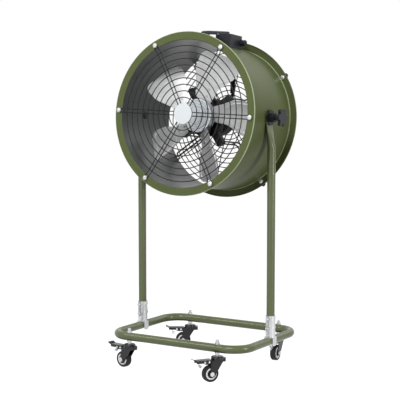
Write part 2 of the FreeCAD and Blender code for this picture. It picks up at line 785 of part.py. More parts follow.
def rear_guard():
    plane = drum_length + rod_diameter + spoke_wire / 2 - pivot_depth
    side = [(spoke_inner_radius, plane), (guard_bolt_circle + spoke_half_gap, plane)]
    pin = hairpin(side, spoke_half_gap, spoke_wire, [])
    spokes = [turned(pin, rear_spoke_angle + 360 / rear_spokes * k) for k in range(rear_spokes)]
    last = rear_ring_first + rear_ring_pitch * (rear_rings - 1)
    stay_start = rear_ring_first - ring_wire
    behind = plane + spoke_wire / 2 - ring_wire / 2
    stay = Part.makeCylinder(ring_wire / 2, last + ring_wire - stay_start, Vector(stay_start, behind, 0), X)
    stays = [turned(stay, rear_spoke_angle + 360 / rear_spokes * (k + 0.5)) for k in range(rear_spokes)]
    depth = drum_length + rod_diameter + spoke_wire + ring_wire / 2 + weld_gap
    rings = [wire_ring(rear_ring_first + rear_ring_pitch * k, depth) for k in range(rear_rings)]
    return [in_drum(wire) for wire in spokes + stays + rings]


# Motor

body_start = motor_front + front_cover_length
body_end = body_start + motor_body_length
motor_end = body_end + rear_cover_length
stator_start = (body_start + body_end - stator_length) / 2
rear_bearing_start = motor_end - rear_cover_floor - bearing_width
front_bearing_start = body_start - bearing_width


def motor_body():
    shell = axial(motor_radius, body_start, body_end)
    fins_start = foot_front + foot_length + fin_thickness
    for k in range(fin_count):
        at = fins_start + fin_pitch * k
        shell = shell.fuse(axial(motor_radius + fin_height, at, at + fin_thickness))
    lead_base = Vector(0, lead_depth - pivot_depth, 0)
    spout = Part.makeCylinder(lead_gland_radius, lead_gland_end, lead_base, lead_direction())
    shell = shell.fuse(spout).removeSplitter().cut(axial(motor_radius - motor_shell, body_start, body_end))
    bore = Part.makeCylinder(lead_radius + seat_gap, 2 * lead_gland_end, lead_base, lead_direction())
    return shell.cut(bore)


def motor_front_cover():
    cover = axial(motor_radius, motor_front, body_start)
    face = motor_front - pivot_depth
    rim = [e for e in cover.Edges if abs(e.CenterOfMass.y - face) < 1e-6]
    cover = cover.makeChamfer(front_cover_chamfer, rim)
    cover = cover.cut(axial(bearing_radius + running_fit, front_bearing_start, body_start))
    return cover.cut(axial(shaft_exit_radius, motor_front, body_start))


def motor_rear_cover():
    cover = axial(motor_radius, body_end, motor_end)
    face = motor_end - pivot_depth
    rim = [e for e in cover.Edges if abs(e.CenterOfMass.y - face) < 1e-6]
    cover = cover.makeChamfer(rear_cover_chamfer, rim)
    return cover.cut(axial(bearing_radius + running_fit, body_end, rear_bearing_start + bearing_width))


def motor_bearings():
    rings = []
    for start in (front_bearing_start, rear_bearing_start):
        ring = axial(bearing_radius, start, start + bearing_width)
        rings.append(in_drum(ring.cut(axial(shaft_radius + running_fit, start, start + bearing_width))))
    return rings


def motor_stator():
    ring = axial(motor_radius - motor_shell - seat_gap, stator_start, stator_start + stator_length)
    return ring.cut(axial(stator_bore_radius, stator_start, stator_start + stator_length))


def motor_rotor():
    core = axial(stator_bore_radius - air_gap, stator_start, stator_start + stator_length)
    return core.cut(axial(shaft_radius + running_fit / 2, stator_start, stator_start + stator_length))


def motor_shaft():
    return axial(shaft_radius, hub_front + hub_disc_thickness, rear_bearing_start + bearing_width - face_gap)


def motor_feet():
    """The clamp ring round the motor, with four lugs that the rods stand in."""
    rear = foot_front + foot_length
    ring = axial(motor_radius + foot_ring, foot_front, rear)
    lug = Part.makeBox(foot_reach - motor_radius, foot_length, foot_width,
                       Vector(motor_radius, foot_front - pivot_depth, -foot_width / 2))
    middle = foot_front + foot_length / 2 - pivot_depth
    outer = [e for e in lug.Edges if e.CenterOfMass.x > foot_reach - 1e-6]
    lug = lug.makeFillet(foot_rounding, [e for e in outer if abs(e.CenterOfMass.y - middle) < 1e-6])
    for side in (-1, 1):
        across = side * rod_half_gap
        socket = axial(rod_diameter / 2 + seat_gap, foot_front + foot_floor, rear, rod_radius, across)
        lug = lug.cut(socket)
    lugs = [turned(lug, rear_spoke_angle + 360 / rear_spokes * k) for k in range(rear_spokes)]
    feet = ring.fuse(lugs).removeSplitter()
    return feet.cut(axial(motor_radius + seat_gap, foot_front, rear))


def motor_rods():
    """Double rods from the motor's feet back to the rear, then out to the flange and round its bolts."""
    start = foot_front + foot_floor + seat_gap - pivot_depth
    back = drum_length - rod_rear_setback - pivot_depth
    level = drum_length + rod_diameter / 2 - pivot_depth
    loop = flange_radius + rod_loop_over - rod_diameter / 2
    side = [(rod_radius, start), (rod_radius, back), (bore_radius - rod_wall_gap, back),
            (bore_radius - rod_rim_gap, level), (loop, level)]
    pin = hairpin(side, rod_half_gap, rod_diameter, [rod_corner, rod_bend, rod_bend])
    return [in_drum(turned(pin, rear_spoke_angle + 360 / rear_spokes * k)) for k in range(rear_spokes)]


# Impeller. A blade is drawn with its length along +X, its chord along +Y and its front face up.

def blade_shell(inner, thickness):
    centre = Vector(0, 0, blade_camber_radius)
    ring = Part.makeCylinder(inner + thickness, 2 * blade_tip, centre, X)
    return ring.cut(Part.makeCylinder(inner, 2 * blade_tip, centre, X))


def blade_plan(inset, start):
    """The blade's plan, inset from its edge, from a start radius outwards, as a tall prism."""
    low = -blade_tip / 4
    reaches = [blade_root, blade_neck, blade_shoulder, blade_tip]
    lead, trail = [], []
    for reach, ahead, behind in zip(reaches, blade_lead_half, blade_trail_half):
        x = min(max(reach, start), blade_tip - inset)
        lead.append(Vector(x, inset - ahead, low))
        trail.append(Vector(x, behind - inset, low))
    lead_rounding, trail_rounding = list(blade_lead_rounding), list(blade_trail_rounding)
    if inset > 0:
        lead, trail = lead[1:], trail[1:]
        lead_rounding = [blade_rib_rounding, lead_rounding[2], lead_rounding[3] - inset]
        trail_rounding = [blade_rib_rounding, trail_rounding[2], trail_rounding[3] - inset]
    return rounded_prism(lead + trail[::-1], lead_rounding + trail_rounding[::-1], Z * blade_tip / 2)


def rivet_hole(reach):
    return Part.makeCylinder(rivet_radius + seat_gap, blade_tip / 2, Vector(reach, 0, -blade_tip / 4))


def blade():
    """A cambered sheet with one raised loop that follows its edge."""
    sheet = blade_shell(blade_camber_radius, blade_sheet).common(blade_plan(0, blade_root))
    inner = blade_rib_inset + blade_rib_width
    loop = blade_plan(blade_rib_inset, blade_neck + blade_rib_inset)
    loop = loop.cut(blade_plan(inner, blade_neck + inner))
    rib = blade_shell(blade_camber_radius - blade_rib_height, blade_rib_height).common(loop)
    sheet = sheet.fuse(rib).removeSplitter()
    for reach in rivet_reaches:
        sheet = sheet.cut(rivet_hole(reach))
    return sheet


def blade_arm():
    """The hub's arm behind a blade's root."""
    low = -blade_tip / 4
    start = hub_cup_radius - hub_cup_wall / 2
    lane = [Vector(start, -arm_half_width, low), Vector(arm_end, -arm_half_width, low),
            Vector(arm_end, arm_half_width, low), Vector(start, arm_half_width, low)]
    rounding = [0, arm_half_width / 2, arm_half_width / 2, 0]
    plan = rounded_prism(lane, rounding, Z * blade_tip / 2)
    arm = blade_shell(blade_camber_radius + blade_sheet + seat_gap, arm_sheet).common(plan)
    for reach in rivet_reaches:
        arm = arm.cut(rivet_hole(reach))
    return arm


def rivet(reach):
    low = -(blade_sheet + seat_gap + arm_sheet) - 2 * seat_gap
    shank = Part.makeCylinder(rivet_radius, 2 * seat_gap - low, Vector(reach, 0, low))
    front = Part.makeCylinder(rivet_head_radius, rivet_head_height, Vector(reach, 0, seat_gap))
    behind = Vector(reach, 0, low + seat_gap - rivet_head_height)
    back = Part.makeCylinder(rivet_head_radius, rivet_head_height, behind)
    return shank.fuse([front, back]).removeSplitter()


def on_impeller(shape, k):
    """A blade piece pitched, set at the blade's depth and turned to its place round the hub."""
    copy = shape.copy()
    copy.rotate(ORIGIN, X, 90 + blade_pitch)
    copy.translate(Y * (blade_depth - pivot_depth))
    return turned(copy, blade_angle + 360 / blade_count * k)


def impeller_hub():
    cup_end = hub_front + hub_cup_depth + hub_disc_thickness
    disc_end = hub_front + hub_disc_thickness
    disc = axial(hub_disc_radius, hub_front, disc_end)
    face = hub_front - pivot_depth
    disc = disc.makeFillet(hub_step_height, [e for e in disc.Edges if abs(e.CenterOfMass.y - face) < 1e-6])
    step = axial(hub_step_radius, hub_front - hub_step_height, hub_front)
    cap = axial(hub_cap_radius, hub_front - 2 * hub_step_height, hub_front - hub_step_height)
    cup = axial(hub_cup_radius, disc_end, cup_end)
    cup = cup.cut(axial(hub_cup_radius - hub_cup_wall, disc_end, cup_end))
    boss = axial(hub_boss_radius, disc_end, disc_end + hub_boss_length)
    arms = [on_impeller(blade_arm(), k) for k in range(blade_count)]
    hub = disc.fuse([step, cap, cup, boss] + arms).removeSplitter()
    hub = hub.cut(axial(shaft_radius + running_fit / 2, disc_end, disc_end + hub_boss_length))
    for place in bolt_places(4, 45, hub_screw_circle, hub_front):
        hub = hub.cut(axial(hub_screw_radius, hub_front - hub_step_height, hub_front, place.x, place.z))
    return hub


# Top of the drum

def saddle():
    """The barrel's outside, to shape the feet of what stands on it."""
    return axial(barrel_radius + seat_gap, 0, drum_length)


def box_prism(grow, low, high):
    """The switch box's rounded plan, grown outwards, between two levels."""
    x0, x1 = box_left - grow, box_left + box_width + grow
    y0, y1 = box_front - pivot_depth - grow, box_front + box_length - pivot_depth + grow
    outline = [Vector(x0, y0, low), Vector(x1, y0, low), Vector(x1, y1, low), Vector(x0, y1, low)]
    return rounded_prism(outline, [box_corner + grow] * 4, Z * (high - low))


def lid_posts():
    x0, x1 = box_left + lid_post_inset, box_left + box_width - lid_post_inset
    y0, y1 = box_front - pivot_depth + lid_post_inset, box_front + box_length - pivot_depth - lid_post_inset
    return [Vector(x, y, 0) for x in (x0, x1) for y in (y0, y1)]


def switch_box():
    low, high = barrel_radius / 2, box_top - lid_thickness
    outer = box_prism(0, low, high)
    inner = box_prism(-box_wall, low, high)
    walls = outer.cut(inner)
    posts = [Part.makeCylinder(lid_post_radius, high - low, place + Z * low) for place in lid_posts()]
    box = walls.fuse([post.common(outer) for post in posts]).removeSplitter()
    box = box.cut(saddle())
    for place in lid_posts():
        bottom = place + Z * (high - lid_screw_length)
        box = box.cut(Part.makeCylinder(lid_screw_radius + seat_gap / 2, lid_screw_length, bottom))
    inside = gland_place() - X * 2 * box_wall
    return box.cut(Part.makeCylinder(gland_thread_radius + seat_gap, 3 * box_wall, inside, X))


def gland_place():
    return Vector(box_left + box_width, box_front + gland_setback - pivot_depth, barrel_radius + gland_rise)


def rocker_centre():
    middle = box_front + box_length / 2 - pivot_depth
    return Vector(box_left + box_width / 2, middle, box_top + rocker_bezel_height)


def switch_lid():
    lid = box_prism(0, box_top - lid_thickness, box_top)
    for place in lid_posts():
        under = place + Z * (box_top - lid_thickness)
        lid = lid.cut(Part.makeCylinder(lid_screw_radius + seat_gap, lid_thickness, under))
    return lid.cut(rocker_block(rocker_wall + slip_fit, box_top - lid_thickness, box_top))


def rocker_block(grow, low, high):
    """The rocker's plan, grown outwards, between two levels."""
    c = rocker_centre()
    return Part.makeBox(rocker_width + 2 * grow, rocker_length + 2 * grow, high - low,
                        Vector(c.x - rocker_width / 2 - grow, c.y - rocker_length / 2 - grow, low))


def rocker_frame():
    body = rocker_block(rocker_wall, box_top - rocker_body_depth, box_top)
    bezel = rocker_block(rocker_wall + rocker_bezel, box_top, box_top + rocker_bezel_height)
    floor = box_top - rocker_body_depth + rocker_wall
    frame = body.fuse(bezel).removeSplitter().cut(rocker_block(0, floor, box_top + rocker_bezel_height))
    length = rocker_width + rocker_wall
    pin = Part.makeCylinder(rocker_pin_radius, length, rocker_pivot() - X * length / 2, X)
    return frame.fuse(pin).removeSplitter()


def rocker_pivot():
    c = rocker_centre()
    return Vector(c.x, c.y, box_top - rocker_pin_radius * 2)


def rocker():
    """The switch's rocking key, tipped towards the front at rest."""
    half = rocker_length / 2 - rocker_end_gap
    width = rocker_width - 2 * face_gap
    valley = rocker_bezel_height + rocker_pin_radius * 2
    peak = valley + rocker_key_rise
    half_profile = [(half, rocker_key_skirt), (half - rocker_key_skirt, peak)]
    keel = [(rocker_key_keel - half, -rocker_key_drop), (half - rocker_key_keel, -rocker_key_drop)]
    profile = keel + half_profile + [(0, valley)] + [(-y, z) for y, z in half_profile[::-1]] + keel[:1]
    key = Part.Face(Part.makePolygon([Vector(-width / 2, y, z) for y, z in profile])).extrude(X * width)
    key = key.cut(Part.makeCylinder(rocker_pin_radius + running_fit, 2 * width, X * -width, X))
    key.rotate(ORIGIN, X, rocker_swing)
    key.translate(rocker_pivot())
    return key


def lid_screws():
    screws = []
    for place in lid_posts():
        length = lid_screw_length - lid_screw_short
        shank = Part.makeCylinder(lid_screw_radius, length, place + Z * (box_top - length))
        head = Part.makeCylinder(lid_screw_head_radius, lid_screw_head_height, place + Z * box_top)
        screws.append(in_drum(shank.fuse(head).removeSplitter()))
    return screws


def cable_gland():
    """The mains inlet on the box's right side, empty of its cable."""
    seat = gland_place()
    inside = box_wall + gland_thread_over
    thread = Part.makeCylinder(gland_thread_radius, inside, seat - X * inside, X)
    body = hexagon(gland_body_width, gland_body_length, seat, X, gland_bore_radius)
    cap = Part.makeCylinder(gland_cap_radius, gland_cap_length, seat + X * gland_body_length, X)
    end = seat.x + gland_body_length + gland_cap_length
    cap = cap.makeFillet(gland_cap_rounding, [e for e in cap.Edges if abs(e.CenterOfMass.x - end) < 1e-6])
    gland = thread.fuse([body, cap]).removeSplitter()
    return gland.cut(Part.makeCylinder(gland_bore_radius, flange_radius, seat - X * flange_radius / 2, X))


def carry_handle():
    """A strap handle fore and aft on the drum's top, rising to the rear."""
    ground = barrel_radius - handle_bar
    front_level, rear_level = barrel_radius + handle_front_rise, barrel_radius + handle_rear_rise
    front_toe, rear_toe = drum_length - handle_front_setback, drum_length - handle_rear_setback
    front_shoulder, rear_shoulder = front_toe + handle_front_lean, rear_toe - handle_rear_lean
    slope = (rear_level - front_level) / (rear_shoulder - front_shoulder)
    outer = [(front_toe, ground), (front_shoulder - handle_knuckle, front_level - handle_shoulder_drop),
             (front_shoulder + handle_knuckle, front_level), (rear_shoulder - handle_knuckle, rear_level),
             (rear_toe, rear_level - handle_heel_drop), (rear_toe, ground)]
    front_in, rear_in = front_toe + handle_foot, rear_toe - handle_foot
    rear_under = front_level + slope * (rear_in - front_shoulder) - handle_bar
    inner = [(rear_in, ground), (rear_in, rear_under),
             (front_in + 2 * handle_knuckle, front_level - handle_bar), (front_in, ground)]
    outline = [Vector(handle_left, d - pivot_depth, z) for d, z in outer + inner]
    bar = rounded_prism(outline, handle_rounding, X * handle_width)
    middle = handle_left + handle_width / 2
    rims = [e for e in bar.Edges if abs(abs(e.CenterOfMass.x - middle) - handle_width / 2) < 1e-6]
    bar = bar.makeFillet(handle_edge, [e for e in rims if e.CenterOfMass.z > barrel_radius + handle_bar / 2])
    return bar.cut(saddle())


def lead_direction():
    return Vector(math.cos(math.radians(lead_angle)), 0, math.sin(math.radians(lead_angle)))


def motor_lead():
    """The motor's lead: out of its gland, round one bend and straight up into the switch box."""
    y = lead_depth - pivot_depth
    start = Vector(0, y, 0) + lead_direction() * (motor_radius - motor_shell)
    turn = Vector(lead_x, y, lead_x * math.tan(math.radians(lead_angle)))
    path = rounded_path([start, turn, Vector(lead_x, y, lead_top)], [lead_bend])
    return swept(path, lead_radius)


def lead_sleeve():
    top = math.sqrt(barrel_radius ** 2 - (lead_x - sleeve_radius) ** 2) + sleeve_rise
    base = Vector(lead_x, lead_depth - pivot_depth, sleeve_bottom)
    sleeve = Part.makeCylinder(sleeve_radius, top - sleeve_bottom, base)
    return sleeve.cut(Part.makeCylinder(lead_radius + seat_gap, top, base))


def write(name, shape):
    """One file per node. A list of solids shares its node."""
    solids = shape if isinstance(shape, list) else [shape]
    Part.makeCompound(solids).exportStep("parts/" + name + ".step")


os.makedirs("parts", exist_ok=True)

write("base_frame", base_frame())
write("right_leg", right_leg())
write("left_leg", opposite(right_leg()))
write("right_tee_clamp", right_tee())
write("left_tee_clamp", opposite(right_tee()))
write("tee_screws", tee_screws())
write("caster_stems", caster_stems())
for corner in caster_headings:
    write(corner + "_fork", on_caster(caster_fork(), corner))
    write(corner + "_axle", on_caster(caster_axle(), corner))
    write(corner + "_tyre", on_caster(caster_tyre(), corner))
    write(corner + "_wheel_hub", on_caster(caster_hub(), corner))
    write(corner + "_brake_pedal", on_caster(caster_pedal(), corner))
write("drum_casing", in_drum(casing()))
write("pivot_bolts", pivot_bolts())
write("right_tilt_knob", in_drum(tilt_knob()))
write("left_tilt_knob", in_drum(opposite(tilt_knob())))
write("front_guard", front_guard())
write("guard_disc", in_drum(guard_disc()))
write("guard_bolts", guard_bolts())
write("rear_guard", rear_guard())
write("motor_body", in_drum(motor_body()))
write("motor_front_cover", in_drum(motor_front_cover()))
write("motor_rear_cover", in_drum(motor_rear_cover()))
write("motor_bearings", motor_bearings())
write("motor_stator", in_drum(motor_stator()))
write("motor_feet", in_drum(motor_feet()))
write("motor_rods", motor_rods())
write("motor_shaft", in_drum(motor_shaft()))
write("motor_rotor", in_drum(motor_rotor()))
write("impeller_hub", in_drum(impeller_hub()))
for k in range(blade_count):
    write("blade_" + str(k + 1), in_drum(on_impeller(blade(), k)))
write("blade_rivets", [in_drum(on_impeller(rivet(r), k)) for k in range(blade_count) for r in rivet_reaches])
write("switch_box", in_drum(switch_box()))
write("switch_lid", in_drum(switch_lid()))
write("lid_screws", lid_screws())
write("rocker_frame", in_drum(rocker_frame()))
write("rocker_switch", in_drum(rocker()))
write("cable_gland", in_drum(cable_gland()))
write("carry_handle", in_drum(carry_handle()))
write("motor_lead", in_drum(motor_lead()))
write("lead_sleeve", in_drum(lead_sleeve()))
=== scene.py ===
# %% [markdown]
# A drum fan on a wheeled stand, dressed around its CAD frame.
# The frame gives every steel, plastic and rubber piece at its real size, so this script adds the
# camera, the light, a finish for each piece, and the small pieces that are easier to make as meshes.

# %% Load the frame
import json
import math

import bpy
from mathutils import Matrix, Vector


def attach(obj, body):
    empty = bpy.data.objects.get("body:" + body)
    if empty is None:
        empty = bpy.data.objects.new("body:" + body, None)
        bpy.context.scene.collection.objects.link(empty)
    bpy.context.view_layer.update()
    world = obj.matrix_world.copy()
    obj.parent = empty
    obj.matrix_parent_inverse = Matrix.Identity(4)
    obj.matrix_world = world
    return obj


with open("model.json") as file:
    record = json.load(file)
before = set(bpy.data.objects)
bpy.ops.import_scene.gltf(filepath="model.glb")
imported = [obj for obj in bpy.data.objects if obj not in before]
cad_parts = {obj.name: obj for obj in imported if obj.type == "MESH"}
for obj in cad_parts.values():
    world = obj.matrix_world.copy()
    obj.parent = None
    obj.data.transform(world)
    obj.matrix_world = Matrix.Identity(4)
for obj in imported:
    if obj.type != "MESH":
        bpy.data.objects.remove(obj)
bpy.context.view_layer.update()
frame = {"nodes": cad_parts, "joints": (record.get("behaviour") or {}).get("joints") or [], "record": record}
nodes = frame["nodes"]
joints = {joint["name"]: joint for joint in frame["joints"]}

# %% [markdown]
# The drum leans back a little on its pivots. Two finishes further down change with the distance from
# the fan's axis, so they need the pivot's place and the angle that brings the drum back to level.

# %% The drum's pivot and lean
up = Vector((0, 0, 1))
pivot = Vector(joints["drum_tilt"]["pos_m"])
fan_axis = Vector(joints["impeller_spin"]["axis"]).normalized()
rest_tilt = math.atan2(-fan_axis.z, fan_axis.y)
print("pivot", [round(v, 4) for v in pivot], "tilt", round(math.degrees(rest_tilt), 2))

# %% [markdown]
# The camera stands to the fan's right, a little above its middle, with a long lens.
# Its place comes from matching the flange circles, the tube ends and the wheels in the photograph.

# %% Camera
view_azimuth = math.radians(31.86)
view_pitch = math.radians(5.51)
view_distance = 3.7995
view_target = Vector((-0.0122, -0.0076, 0.5213))
back = Vector((math.sin(view_azimuth) * math.cos(view_pitch),
               -math.cos(view_azimuth) * math.cos(view_pitch),
               math.sin(view_pitch)))
camera_data = bpy.data.cameras.new("camera")
camera_data.sensor_width = 36.0
camera_data.lens = 108.7
camera = bpy.data.objects.new("camera", camera_data)
camera.location = view_target + back * view_distance
camera.rotation_euler = back.to_track_quat("Z", "Y").to_euler()
bpy.context.scene.collection.objects.link(camera)
bpy.context.scene.camera = camera
print("camera", [round(v, 3) for v in camera.location])

# %% [markdown]
# A product picture on white. The floor and the world show white to rays from the camera, in gloss
# and through glass, while all other rays meet a grey floor and a dim room. This way the background
# is white without more light on the fan, and the floor keeps a soft shadow.

# %% Which rays see the background
bpy.context.scene.view_settings.view_transform = "Standard"


def joined(tree, first, second, operation):
    """Two values joined by one step of arithmetic."""
    step = tree.nodes.new("ShaderNodeMath")
    step.operation = operation
    tree.links.new(first, step.inputs[0])
    tree.links.new(second, step.inputs[1])
    return step.outputs[0]


def seen_directly(tree):
    """1 for rays that show the background: from the camera, in gloss or through glass."""
    path = tree.nodes.new("ShaderNodeLightPath")
    seen = joined(tree, path.outputs["Is Camera Ray"], path.outputs["Is Glossy Ray"], "MAXIMUM")
    return joined(tree, seen, path.outputs["Is Transmission Ray"], "MAXIMUM")


# %% Floor
floor_half = 15.0
floor_grey = 0.30
floor_glow = 0.93
floor_mesh = bpy.data.meshes.new("floor")
floor_corners = [(-floor_half, -floor_half, 0), (floor_half, -floor_half, 0),
                 (floor_half, floor_half, 0), (-floor_half, floor_half, 0)]
floor_mesh.from_pydata(floor_corners, [], [(0, 1, 2, 3)])
floor = bpy.data.objects.new("floor", floor_mesh)
bpy.context.scene.collection.objects.link(floor)
floor_paint = bpy.data.materials.new("floor_white")
floor_paint.use_nodes = True
tree = floor_paint.node_tree
tree.nodes.clear()
diffuse = tree.nodes.new("ShaderNodeBsdfDiffuse")
diffuse.inputs["Color"].default_value = (floor_grey, floor_grey, floor_grey, 1)
glow = tree.nodes.new("ShaderNodeEmission")
glow.inputs["Strength"].default_value = floor_glow
dark = tree.nodes.new("ShaderNodeEmission")
dark.inputs["Strength"].default_value = 0.0
lift = tree.nodes.new("ShaderNodeMixShader")
both = tree.nodes.new("ShaderNodeAddShader")
output = tree.nodes.new("ShaderNodeOutputMaterial")
tree.links.new(seen_directly(tree), lift.inputs["Fac"])
tree.links.new(dark.outputs[0], lift.inputs[1])
tree.links.new(glow.outputs[0], lift.inputs[2])
tree.links.new(diffuse.outputs[0], both.inputs[0])
tree.links.new(lift.outputs[0], both.inputs[1])
tree.links.new(both.outputs[0], output.inputs["Surface"])
floor_mesh.materials.append(floor_paint)

# %% World
room_strength = 0.27
white_strength = 1.0
world = bpy.data.worlds.new("studio")
bpy.context.scene.world = world
world.use_nodes = True
tree = world.node_tree
tree.nodes.clear()
room = tree.nodes.new("ShaderNodeBackground")
white = tree.nodes.new("ShaderNodeBackground")
for backdrop, strength in ((room, room_strength), (white, white_strength)):
    backdrop.inputs["Color"].default_value = (1, 1, 1, 1)
    backdrop.inputs["Strength"].default_value = strength
pick = tree.nodes.new("ShaderNodeMixShader")
output = tree.nodes.new("ShaderNodeOutputWorld")
tree.links.new(seen_directly(tree), pick.inputs["Fac"])
tree.links.new(room.outputs[0], pick.inputs[1])
tree.links.new(white.outputs[0], pick.inputs[2])
tree.links.new(pick.outputs[0], output.inputs["Surface"])

# %% [markdown]
# Five soft lamps: a key from above the front, a tall strip for the tubes' right sides, two fills for
# the left and the front, and a weak rim from behind. Their power stays at a level where a colour
# comes out about as it is written.

# %% Lamps
fan_middle = Vector((0, 0, 0.6))
# Each lamp's name, place, width and height in metres, and its power in watts
lamps = (
    ("key", (0.3, -2.6, 2.9), 1.0, 1.0, 62),
    ("right_strip", (3.1, -0.2, 1.1), 0.5, 2.0, 40),
    ("left_top", (-1.7, -1.8, 2.3), 0.6, 0.6, 16),
    ("front_fill", (-0.4, -3.4, 0.9), 1.6, 1.6, 18),
    ("rim", (0.9, 2.8, 2.3), 2.0, 2.0, 14),
)
for name, place, width, height, power in lamps:
    data = bpy.data.lights.new(name, "AREA")
    data.shape = "RECTANGLE"
    data.size = width
    data.size_y = height
    data.energy = power
    lamp = bpy.data.objects.new(name, data)
    lamp.location = place
    lamp.rotation_euler = (Vector(place) - fan_middle).to_track_quat("Z", "Y").to_euler()
    bpy.context.scene.collection.objects.link(lamp)

# %% [markdown]
# Every finish starts the same way: a colour that drifts a little, a roughness that drifts with a
# second noise, and a fine grain as bump. One helper lays these out, and each finish gives its own
# numbers: the ends of its colour and roughness, its grain in features per metre and its bump.

# %% Finish helper
noise_low, noise_high = 0.3, 0.7
drift_scale = 18.0
drift_detail = 3.0
wear_scale = 108.0
wear_detail = 5.0
grain_detail = 4.0
grain_depth = 0.0004
even = (1, 1, 1)


def noise(tree, coordinates, scale, detail, stretch=even):
    """A noise with a scale in features per metre, squeezed along an axis by its stretch."""
    shape = tree.nodes.new("ShaderNodeMapping")
    shape.inputs["Scale"].default_value = stretch
    pattern = tree.nodes.new("ShaderNodeTexNoise")
    pattern.inputs["Scale"].default_value = scale
    pattern.inputs["Detail"].default_value = detail
    tree.links.new(coordinates, shape.inputs["Vector"])
    tree.links.new(shape.outputs[0], pattern.inputs["Vector"])
    return pattern.outputs["Fac"]


def spread(tree, value, low, high):
    """The middle of a noise stretched to run from low to high."""
    span = tree.nodes.new("ShaderNodeMapRange")
    span.inputs["From Min"].default_value = noise_low
    span.inputs["From Max"].default_value = noise_high
    span.inputs["To Min"].default_value = low
    span.inputs["To Max"].default_value = high
    tree.links.new(value, span.inputs["Value"])
    return span.outputs[0]


def mixed(tree, share, first, second):
    """Two colours or colour sockets mixed by a share."""
    mix = tree.nodes.new("ShaderNodeMix")
    mix.data_type = "RGBA"
    # A mix node has sockets for each kind of data: its colours are inputs 6 and 7 and output 2
    for socket, colour in ((mix.inputs[6], first), (mix.inputs[7], second)):
        if isinstance(colour, tuple):
            socket.default_value = (*colour, 1)
        else:
            tree.links.new(colour, socket)
    tree.links.new(share, mix.inputs[0])
    return mix.outputs[2]


def finish(name, colour, second, rough, grain, bump, metallic=0.0, stretch=even, shine=0.22):
    """A procedural finish: its material, tree, shader and coordinates, for more detail."""
    material = bpy.data.materials.new(name)
    material.use_nodes = True
    tree = material.node_tree
    shader = tree.nodes["Principled BSDF"]
    shader.inputs["Metallic"].default_value = metallic
    shader.inputs["Specular IOR Level"].default_value = shine
    place = tree.nodes.new("ShaderNodeTexCoord").outputs["Object"]
    drift = spread(tree, noise(tree, place, drift_scale, drift_detail), 0, 1)
    tree.links.new(mixed(tree, drift, colour, second), shader.inputs["Base Color"])
    wear = noise(tree, place, wear_scale, wear_detail, stretch)
    tree.links.new(spread(tree, wear, *rough), shader.inputs["Roughness"])
    relief = tree.nodes.new("ShaderNodeBump")
    relief.inputs["Strength"].default_value = bump
    relief.inputs["Distance"].default_value = grain_depth
    tree.links.new(noise(tree, place, grain, grain_detail, stretch), relief.inputs["Height"])
    tree.links.new(relief.outputs[0], shader.inputs["Normal"])
    return material, tree, shader, place


# %% [markdown]
# Some looks follow the drum's round shape. These helpers level a point about the pivot, give its
# distance from the fan's axis and its depth along it, and pick out a band of either.

# %% Bands round the fan's axis


def place_in_drum(tree, place):
    """Distance of a point from the fan's axis and its depth along it, from its place in the frame."""
    level = tree.nodes.new("ShaderNodeVectorRotate")
    level.rotation_type = "X_AXIS"
    level.inputs["Center"].default_value = pivot
    level.inputs["Angle"].default_value = rest_tilt
    tree.links.new(place, level.inputs["Vector"])
    apart = tree.nodes.new("ShaderNodeVectorMath")
    apart.operation = "SUBTRACT"
    apart.inputs[1].default_value = pivot
    tree.links.new(level.outputs[0], apart.inputs[0])
    across = tree.nodes.new("ShaderNodeVectorMath")
    across.operation = "MULTIPLY"
    across.inputs[1].default_value = (1, 0, 1)
    tree.links.new(apart.outputs[0], across.inputs[0])
    length = tree.nodes.new("ShaderNodeVectorMath")
    length.operation = "LENGTH"
    tree.links.new(across.outputs[0], length.inputs[0])
    depth = tree.nodes.new("ShaderNodeSeparateXYZ")
    tree.links.new(apart.outputs[0], depth.inputs[0])
    return length.outputs["Value"], depth.outputs["Y"]


def between(tree, value, low, high):
    """1 where a value lies between two limits, else 0."""
    limits = []
    for operation, limit in (("GREATER_THAN", low), ("LESS_THAN", high)):
        step = tree.nodes.new("ShaderNodeMath")
        step.operation = operation
        step.inputs[1].default_value = limit
        tree.links.new(value, step.inputs[0])
        limits.append(step.outputs[0])
    return joined(tree, *limits, "MULTIPLY")


# %% [markdown]
# The stand and the casing are sprayed olive green: a satin enamel with a slight orange peel.
# Inside the drum the paint is a dark grey with a soft sheen, so the casing's paint looks at the
# distance from the fan's axis and changes just inside the sheet. Thin bands at the front lip and at the
# bend to the rear flange are painted paler, as a painted highlight where light catches these edges.

# %% Paints
olive = (0.104, 0.128, 0.050)
olive_light = (0.114, 0.139, 0.056)
charcoal = (0.062, 0.068, 0.066)
# The pale edge colour is a painted highlight for the light caught on the front lip and the rear bend.
painted_edge_highlight = (0.42, 0.47, 0.30)
inner_paint_end, outer_paint_start = 0.2255, 0.2262
front_lip_radii, front_lip_depths = (0.2488, 0.26), (-0.2, -0.1235)
rear_bend_radii, rear_bend_depths = (outer_paint_start, 0.2282), (0.1375, 0.2)
inner_sheen_roughness = 0.42
inner_sheen_ior = 1.36

olive_enamel = finish("olive_enamel", olive, olive_light, rough=(0.25, 0.26), grain=900, bump=0.012,
                      shine=0.44)[0]
casing_paint, tree, shader, place = finish("casing_paint", olive, olive_light, rough=(0.37, 0.40),
                                           grain=900, bump=0.02, shine=0.08)
radius, depth = place_in_drum(tree, place)
inside = tree.nodes.new("ShaderNodeMapRange")
inside.inputs["From Min"].default_value = inner_paint_end
inside.inputs["From Max"].default_value = outer_paint_start
inside.inputs["To Min"].default_value = 1
inside.inputs["To Max"].default_value = 0
tree.links.new(radius, inside.inputs["Value"])
